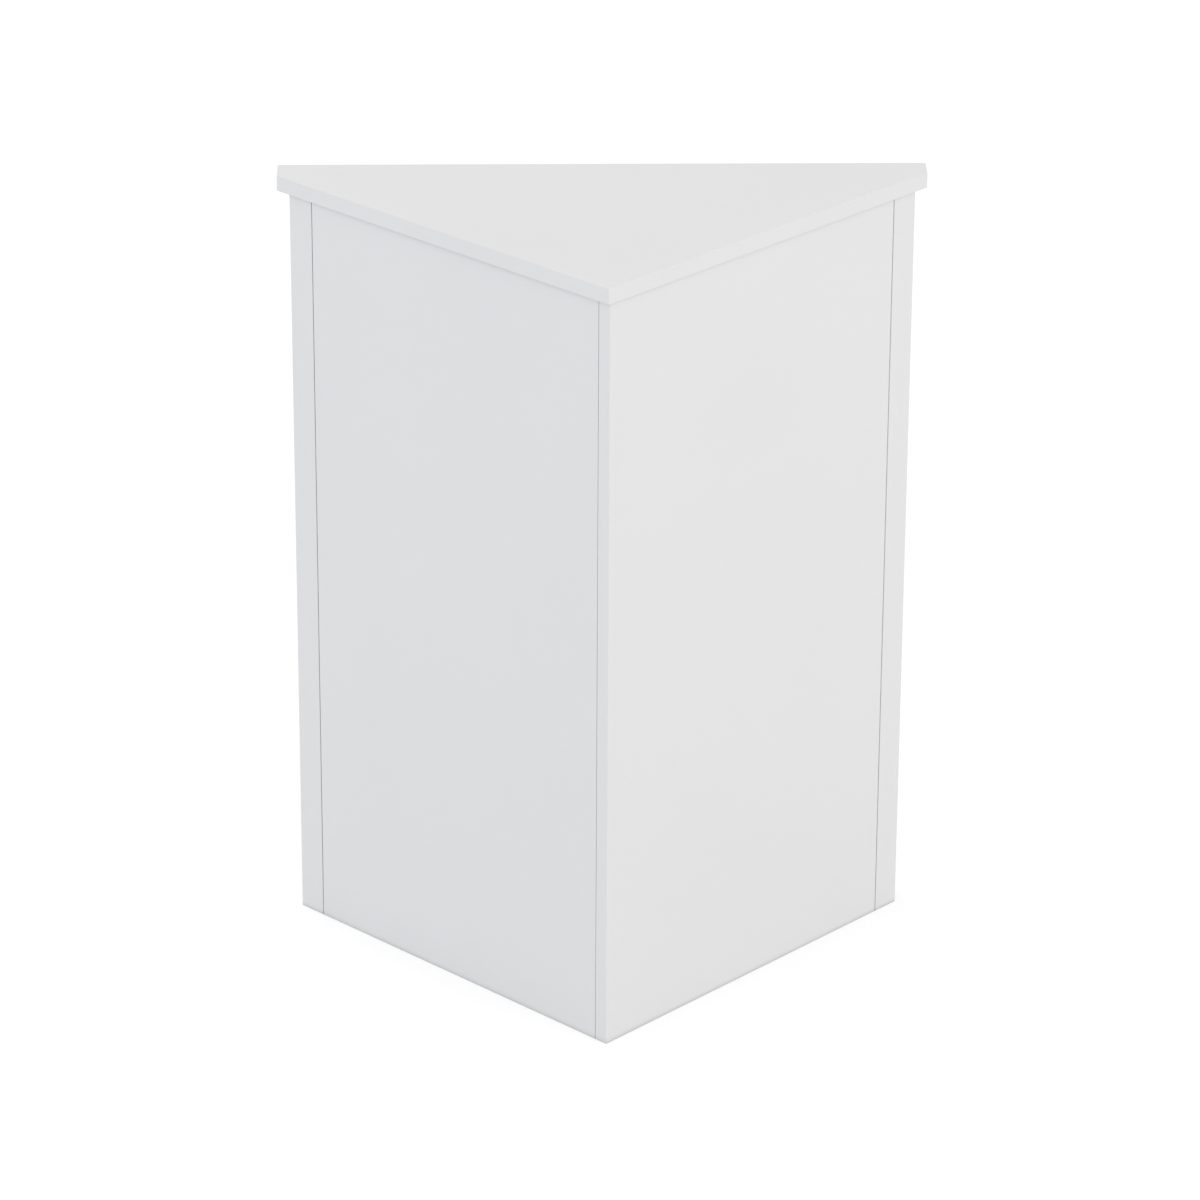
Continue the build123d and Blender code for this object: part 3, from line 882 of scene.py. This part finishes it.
class CABINET_OT_inside(bpy.types.Operator):
    """Floor, shelves and the cleats that carry them"""

    bl_idname = "cabinet.inside"
    bl_label = "Floor, shelves and cleats"

    def execute(self, context):
        cleats = [node for node in sorted(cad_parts) if node.endswith("_cleat")]
        for node in ["bottom_panel", "lower_shelf", "upper_shelf", *cleats]:
            eased_board(node, CARCASS)
        eased_board("top_tongues", CARCASS, slot="bare_plywood")
        return {"FINISHED"}


# Pieces of the door

class CABINET_OT_door_frame(bpy.types.Operator):
    """Stiles and rails of the door"""

    bl_idname = "cabinet.door_frame"
    bl_label = "Door frame"

    def execute(self, context):
        for node in ("door_left_stile", "door_right_stile", "door_top_rail", "door_bottom_rail"):
            eased_board(node, DOOR)
        return {"FINISHED"}


class CABINET_OT_slats(bpy.types.Operator):
    """Louvre slats with rounded long edges"""

    bl_idname = "cabinet.slats"
    bl_label = "Louvre slats"

    def execute(self, context):
        boards = context.scene.cabinet_boards
        half_width = boards.slat_width / 2
        half_thickness = boards.slat_thickness / 2
        corners = [
            (-half_width, -half_thickness, boards.slat_round),
            (half_width, -half_thickness, boards.slat_round),
            (half_width, half_thickness, boards.slat_round),
            (-half_width, half_thickness, boards.slat_round),
        ]
        for node in [n for n in sorted(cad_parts) if n.startswith("door_slat_")]:
            low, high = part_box(node)
            middle = (low + high) / 2
            mesh = plate_mesh([rounded(corners)], high.x - low.x)
            across = Vector((0, cos(boards.slat_tilt), sin(boards.slat_tilt)))
            through = Vector((1, 0, 0)).cross(across)
            turn = Matrix((across, through, Vector((1, 0, 0)))).transposed().to_4x4()
            mesh.transform(Matrix.Translation((low.x, middle.y, middle.z)) @ turn)
            finish_piece(node.replace("door_slat", "louvre_slat"), mesh, DOOR, "white_board", [node])
        return {"FINISHED"}


def hinge_place(level):
    """Axis point at a hinge's lower end, its length and its knuckle radius."""
    low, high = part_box(f"hinge_{level}_pin")
    leaf_low, leaf_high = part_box(f"hinge_{level}_frame_leaf")
    foot = Vector(((low.x + high.x) / 2, (low.y + high.y) / 2, low.z))
    return foot, high.z - low.z, (leaf_high.x - leaf_low.x) / 2


def leaf_outline(length, knuckle, reach, zones, hardware):
    """Outline of a leaf's plate from the hinge axis, notched round the other leaf's knuckles."""
    gap = hardware.knuckle_gap
    step = length / hardware.knuckle_count
    corners = [(reach, 0, hardware.leaf_corner)]
    corners.append((reach, length, hardware.leaf_corner))
    for zone in reversed(range(hardware.knuckle_count)):
        edge = 0 if zone in zones else knuckle + gap
        top_trim = gap if zone not in zones and zone < hardware.knuckle_count - 1 else 0
        bottom_trim = gap if zone not in zones and zone > 0 else 0
        corners.append((edge, (zone + 1) * step + top_trim, 0))
        corners.append((edge, zone * step - bottom_trim, 0))
    return rounded(corners)


def screw_heights(level, hardware):
    """Heights of a hinge's screws above its lower end."""
    length = hinge_place(level)[1]
    return [(length + side * hardware.screw_spacing) / 2 for side in (-1, 1)]


def make_leaf(level, name, body, face_x, side, first, hardware):
    """Hinge leaf: a plate with rounded corners and screw holes, and its rolled knuckles."""
    foot, length, knuckle = hinge_place(level)
    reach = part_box(f"hinge_{level}_{name}")[1].y - foot.y
    zones = range(first, hardware.knuckle_count, 2)
    screw_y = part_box("hinge_frame_screws")
    screw_line = (screw_y[0].y + screw_y[1].y) / 2 - foot.y
    holes = [
        circle(screw_line, z, hardware.screw_head_radius + hardware.screw_clearance, HOLE_SIDES)
        for z in screw_heights(level, hardware)
    ]
    outline = leaf_outline(length, knuckle, reach, zones, hardware)
    plate = plate_mesh([outline, *holes], hardware.leaf_thickness)
    ease_edges(plate, hardware.metal_arris)
    along = Vector((0, 1, 0))
    upright = Vector((0, 0, 1))
    outward = along.cross(upright)
    start_x = face_x if side > 0 else face_x - hardware.leaf_thickness
    turn = Matrix((along, upright, outward)).transposed().to_4x4()
    plate.transform(Matrix.Translation((start_x, foot.y, foot.z)) @ turn)
    step = length / hardware.knuckle_count
    bore = hardware.pin_radius + hardware.pin_clearance
    soft = hardware.metal_arris * KNUCKLE_SOFTNESS
    barrels = []
    for zone in zones:
        low = step * zone
        high = step * (zone + 1)
        if zone > 0:
            low += hardware.knuckle_gap / 2
        if zone < hardware.knuckle_count - 1:
            high -= hardware.knuckle_gap / 2
        ring = [(bore, low), (knuckle - soft, low), (knuckle, low + soft)]
        ring += [(knuckle, high - soft), (knuckle - soft, high), (bore, high), (bore, low)]
        barrel = turned_mesh(ring, KNUCKLE_SIDES)
        barrel.transform(Matrix.Translation(foot))
        barrels.append(barrel)
    leaf = join_meshes([plate, *barrels])
    finish_piece(f"{level}_hinge_{name}", leaf, body, "satin_steel", [f"hinge_{level}_{name}"])


class CABINET_OT_hinges(bpy.types.Operator):
    """Butt hinges: frame leaves, door leaves and pins"""

    bl_idname = "cabinet.hinges"
    bl_label = "Hinges"

    def execute(self, context):
        hardware = context.scene.cabinet_hardware
        post_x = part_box("left_post")[1].x
        door_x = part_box("door_left_stile")[0].x
        for level in ("lower", "upper"):
            make_leaf(level, "frame_leaf", CARCASS, post_x, 1, 0, hardware)
            make_leaf(level, "door_leaf", DOOR, door_x, -1, 1, hardware)
            foot, length, _ = hinge_place(level)
            radius = hardware.pin_radius
            tip = radius * PIN_TIP
            dome = radius * PIN_DOME
            profile = [(tip, 0), (radius, dome), (radius, length - dome), (tip, length)]
            pin = turned_mesh(profile, PIN_SIDES)
            pin.transform(Matrix.Translation(foot))
            finish_piece(f"{level}_hinge_pin", pin, CARCASS, "satin_steel", [f"hinge_{level}_pin"])
        return {"FINISHED"}


class CABINET_OT_hinge_screws(bpy.types.Operator):
    """Countersunk screws of the hinges, with cross recesses"""

    bl_idname = "cabinet.hinge_screws"
    bl_label = "Hinge screws"

    def execute(self, context):
        hardware = context.scene.cabinet_hardware
        head = hardware.screw_head_radius
        shank = hardware.screw_radius
        sink = hardware.leaf_thickness
        recess_reach, recess_depth = SCREW_RECESS
        for node, body, direction in (("hinge_frame_screws", CARCASS, 1), ("hinge_door_screws", DOOR, -1)):
            low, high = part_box(node)
            face_x = high.x if direction > 0 else low.x
            length = high.x - low.x
            profile = [
                (head, 0),
                (head, -sink * SCREW_RIM),
                (shank, -sink),
                (shank, -length * SCREW_SHANK),
                (shank * SCREW_POINT, -length),
            ]
            screws = []
            for level in ("lower", "upper"):
                foot = hinge_place(level)[0]
                for number, z in enumerate(screw_heights(level, hardware)):
                    screw = screw_mesh(profile, head * recess_reach, sink * recess_depth)
                    turn = FIRST_SCREW_TURN + number * NEXT_SCREW_TURN
                    screw.transform(Matrix.Rotation(turn, 4, "Z"))
                    place = (face_x, (low.y + high.y) / 2, foot.z + z)
                    screw.transform(aim(place, (direction, 0, 0)))
                    screws.append(screw)
            finish_piece(node.replace("hinge_", "leaf_"), join_meshes(screws), body, "zinc_steel", [node])
        return {"FINISHED"}


class CABINET_OT_catch(bpy.types.Operator):
    """Magnetic catch: housing, magnet, pole plates and the door's strike plate"""

    bl_idname = "cabinet.catch"
    bl_label = "Catch"

    def execute(self, context):
        arris = context.scene.cabinet_hardware.metal_arris
        eased_board("catch_housing", CARCASS, "white_plastic", 2 * arris)
        eased_board("catch_magnet", CARCASS, "dark_magnet", arris)
        eased_board("catch_plates", CARCASS, "zinc_steel", arris)
        eased_board("strike_plate", DOOR, "zinc_steel", arris)
        return {"FINISHED"}


class CABINET_OT_knob(bpy.types.Operator):
    """Turned knob and the screw that holds it"""

    bl_idname = "cabinet.knob"
    bl_label = "Knob"

    def execute(self, context):
        hardware = context.scene.cabinet_hardware
        low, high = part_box("knob")
        radius = (high.x - low.x) / 2
        length = high.y - low.y
        foot = Vector(((low.x + high.x) / 2, high.y, (low.z + high.z) / 2))
        base = hardware.knob_base_radius
        neck = hardware.knob_neck_radius
        shoulder = length - hardware.knob_head
        bore = hardware.knob_screw_radius
        outline = [
            (base, 0),
            (base, hardware.knob_base),
            (neck, hardware.knob_base),
            (neck, shoulder),
            (radius, shoulder),
            (radius, length - hardware.knob_dome),
        ]
        corners = [(bore, hardware.knob_thread_depth, 0), (bore, 0, 0)]
        corners += [(x, z, share * hardware.knob_round) for (x, z), share in zip(outline, KNOB_ROUNDINGS)]
        corners.append((AXIS_RADIUS, length, 0))
        knob = turned_mesh(rounded(corners, KNOB_STEPS), KNOB_SIDES)
        knob.transform(aim(foot, (0, -1, 0)))
        finish_piece("turned_knob", knob, DOOR, "satin_steel", ["knob"])

        low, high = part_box("knob_screw")
        head = (high.x - low.x) / 2
        rise = high.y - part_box("door_right_stile")[1].y
        shank = bore - hardware.pin_clearance
        profile = [(head * across, rise * up) for across, up in KNOB_SCREW_DOME]
        profile += [(shank, 0), (shank, rise - (high.y - low.y))]
        recess_reach, recess_depth = KNOB_SCREW_RECESS
        screw = screw_mesh(profile, head * recess_reach, rise * recess_depth)
        screw.transform(Matrix.Rotation(KNOB_SCREW_TURN, 4, "Z"))
        screw.transform(aim((foot.x, high.y - rise, foot.z), (0, 1, 0)))
        finish_piece("knob_back_screw", screw, DOOR, "zinc_steel", ["knob_screw"])
        return {"FINISHED"}


# Stage

def direct_rays(tree):
    """Mask of the rays that show the surroundings themselves: seen, mirrored or looked through."""
    path = tree.nodes.new("ShaderNodeLightPath")
    seen = math_node(tree, "MAXIMUM", path.outputs["Is Camera Ray"], path.outputs["Is Glossy Ray"])
    return math_node(tree, "MAXIMUM", seen, path.outputs["Is Transmission Ray"])


def floor_material(stage):
    """White floor: plain for the light it throws back, near white for the eye, with a soft shadow."""
    material, tree, shader = new_material("floor")
    tree.nodes.remove(shader)
    out = tree.nodes["Material Output"]
    bounce = tree.nodes.new("ShaderNodeBsdfDiffuse")
    bounce.inputs["Color"].default_value = rgba([stage.floor_bounce] * 3)
    faint = tree.nodes.new("ShaderNodeBsdfDiffuse")
    faint.inputs["Color"].default_value = rgba([stage.floor_shade] * 3)
    glow = tree.nodes.new("ShaderNodeEmission")
    glow.inputs["Strength"].default_value = stage.floor_glow
    seen = tree.nodes.new("ShaderNodeAddShader")
    link(tree, faint.outputs[0], seen.inputs[0])
    link(tree, glow.outputs[0], seen.inputs[1])
    choice = tree.nodes.new("ShaderNodeMixShader")
    link(tree, direct_rays(tree), choice.inputs[0])
    link(tree, bounce.outputs[0], choice.inputs[1])
    link(tree, seen.outputs[0], choice.inputs[2])
    link(tree, choice.outputs[0], out.inputs["Surface"])
    return material


def make_floor(stage):
    """Wide floor at z = 0."""
    mesh = bmesh.new()
    bmesh.ops.create_grid(mesh, x_segments=1, y_segments=1, size=stage.floor_half)
    data = bpy.data.meshes.new("floor")
    mesh.to_mesh(data)
    mesh.free()
    floor = bpy.data.objects.new("floor", data)
    bpy.context.scene.collection.objects.link(floor)
    data.materials.append(floor_material(stage))


def make_world(stage):
    """White surroundings for the eye, and an even soft light."""
    world = bpy.data.worlds.new("studio")
    world.use_nodes = True
    tree = world.node_tree
    light = tree.nodes["Background"]
    light.inputs["Color"].default_value = rgba(stage.surround_colour)
    light.inputs["Strength"].default_value = stage.surround_light
    seen = tree.nodes.new("ShaderNodeBackground")
    seen.inputs["Color"].default_value = rgba(WHITE)
    choice = tree.nodes.new("ShaderNodeMixShader")
    link(tree, direct_rays(tree), choice.inputs[0])
    link(tree, light.outputs[0], choice.inputs[1])
    link(tree, seen.outputs[0], choice.inputs[2])
    link(tree, choice.outputs[0], tree.nodes["World Output"].inputs["Surface"])
    bpy.context.scene.world = world


def make_lamp(stage, name, place, power, colour=WHITE):
    """Square soft lamp that points at the middle of the cabinet."""
    data = bpy.data.lights.new(name, "AREA")
    data.shape = "SQUARE"
    data.size = stage.lamp_size
    data.energy = power
    data.color = colour
    lamp = bpy.data.objects.new(name, data)
    bpy.context.scene.collection.objects.link(lamp)
    lamp.location = place
    aimed = Vector(stage.lamp_target) - lamp.location
    lamp.rotation_euler = aimed.to_track_quat("-Z", "Y").to_euler()


def make_camera(stage):
    """Camera at the photograph's angle."""
    data = bpy.data.cameras.new("camera")
    data.lens = stage.lens
    camera = bpy.data.objects.new("camera", data)
    bpy.context.scene.collection.objects.link(camera)
    heading, pitch, roll = stage.camera_heading, stage.camera_pitch, stage.camera_roll
    forward = Vector((sin(heading) * cos(pitch), -cos(heading) * cos(pitch), -sin(pitch)))
    level = forward.cross(Vector((0, 0, 1))).normalized()
    upright = level.cross(forward)
    right = level * cos(roll) + upright * sin(roll)
    up = upright * cos(roll) - level * sin(roll)
    turn = Matrix((right, up, -forward)).transposed().to_4x4()
    camera.matrix_world = Matrix.Translation(stage.camera_place) @ turn
    bpy.context.scene.camera = camera


class CABINET_OT_stage(bpy.types.Operator):
    """Floor, soft light and the camera"""

    bl_idname = "cabinet.stage"
    bl_label = "Stage"

    def execute(self, context):
        stage = context.scene.cabinet_stage
        make_floor(stage)
        make_world(stage)
        make_lamp(stage, "left_softbox", stage.left_place, stage.left_power)
        make_lamp(stage, "right_softbox", stage.right_place, stage.right_power, stage.right_colour)
        make_lamp(stage, "front_softbox", stage.front_place, stage.front_power)
        make_camera(stage)
        context.scene.view_settings.view_transform = "Standard"
        return {"FINISHED"}


class CABINET_PT_sidebar(bpy.types.Panel):
    """Settings of the cabinet, and a button for each step"""

    bl_idname = "CABINET_PT_sidebar"
    bl_label = "Corner cabinet"
    bl_space_type = "VIEW_3D"
    bl_region_type = "UI"
    bl_category = "Cabinet"

    def draw(self, context):
        for holder in SETTINGS:
            settings = getattr(context.scene, holder)
            for label in settings.__annotations__:
                self.layout.prop(settings, label)
        for operator in OPERATORS:
            self.layout.operator(operator.bl_idname)


SETTINGS = {
    "cabinet_boards": BoardSettings,
    "cabinet_hardware": HardwareSettings,
    "cabinet_finish": FinishSettings,
    "cabinet_stage": StageSettings,
}
OPERATORS = (
    CABINET_OT_top_panel,
    CABINET_OT_walls,
    CABINET_OT_front_frame,
    CABINET_OT_inside,
    CABINET_OT_door_frame,
    CABINET_OT_slats,
    CABINET_OT_hinges,
    CABINET_OT_hinge_screws,
    CABINET_OT_catch,
    CABINET_OT_knob,
    CABINET_OT_stage,
)
CLASSES = (*SETTINGS.values(), *OPERATORS, CABINET_PT_sidebar)


def register():
    """Make the classes and the scene's settings known."""
    for cls in CLASSES:
        bpy.utils.register_class(cls)
    for holder, settings in SETTINGS.items():
        setattr(bpy.types.Scene, holder, bpy.props.PointerProperty(type=settings))


def unregister():
    """Undo register."""
    for holder in SETTINGS:
        delattr(bpy.types.Scene, holder)
    for cls in reversed(CLASSES):
        bpy.utils.unregister_class(cls)


def main():
    """Build every piece and the stage."""
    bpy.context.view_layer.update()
    register()
    for operator in OPERATORS:
        group, step = operator.bl_idname.split(".")
        getattr(getattr(bpy.ops, group), step)()


if __name__ == "__main__":
    main()
